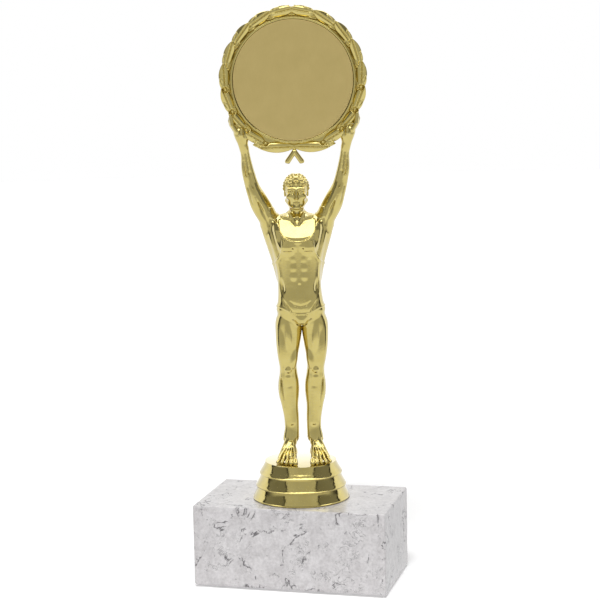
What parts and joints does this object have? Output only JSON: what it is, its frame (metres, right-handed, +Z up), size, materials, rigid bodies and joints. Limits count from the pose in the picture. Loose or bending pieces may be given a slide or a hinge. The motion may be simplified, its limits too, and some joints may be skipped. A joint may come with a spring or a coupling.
{
  "type": "figure trophy",
  "caption": "Gold plastic athlete on a round stepped riser, holding up a laurel wreath with a blank round emblem disc, bolted on a rectangular marble block.",
  "frame": {"origin": "centre of the underside, on the table, under the threaded rod", "axes": "+Z up along the rod; the block's width lies along X and its engraving face looks towards -Y; the figure at rest faces -Y turned 15 degrees towards +X"},
  "size_m": [0.084, 0.048, 0.2458],
  "materials": {
    "marble": "polished white marble with grey mottling and thin dark veins",
    "felt": "pressed felt",
    "steel": "zinc plated",
    "gold_plastic": "polished gold metallised plastic",
    "emblem_satin": "satin gold, blank",
    "foam_tape": "matt white foam"
  },
  "bodies": {
    "base": {"marble_block": "marble", "pad_front_left": "felt", "pad_front_right": "felt", "pad_back_left": "felt", "pad_back_right": "felt", "threaded_rod": "steel", "flat_washer": "steel", "lock_washer": "steel", "clamp_nut": "steel"},
    "figure": {"riser": "gold_plastic", "captive_nut": "steel", "figure_front": "gold_plastic", "figure_back": "gold_plastic", "wreath_frame": "gold_plastic", "emblem_disc": "emblem_satin", "emblem_adhesive": "foam_tape"}
  },
  "joints": [
    {"name": "figure_swivel", "type": "hinge", "parent": "base", "child": "figure", "pos_m": [0, 0, 0.036], "axis": [0, 0, 1], "continuous": true}
  ]
}
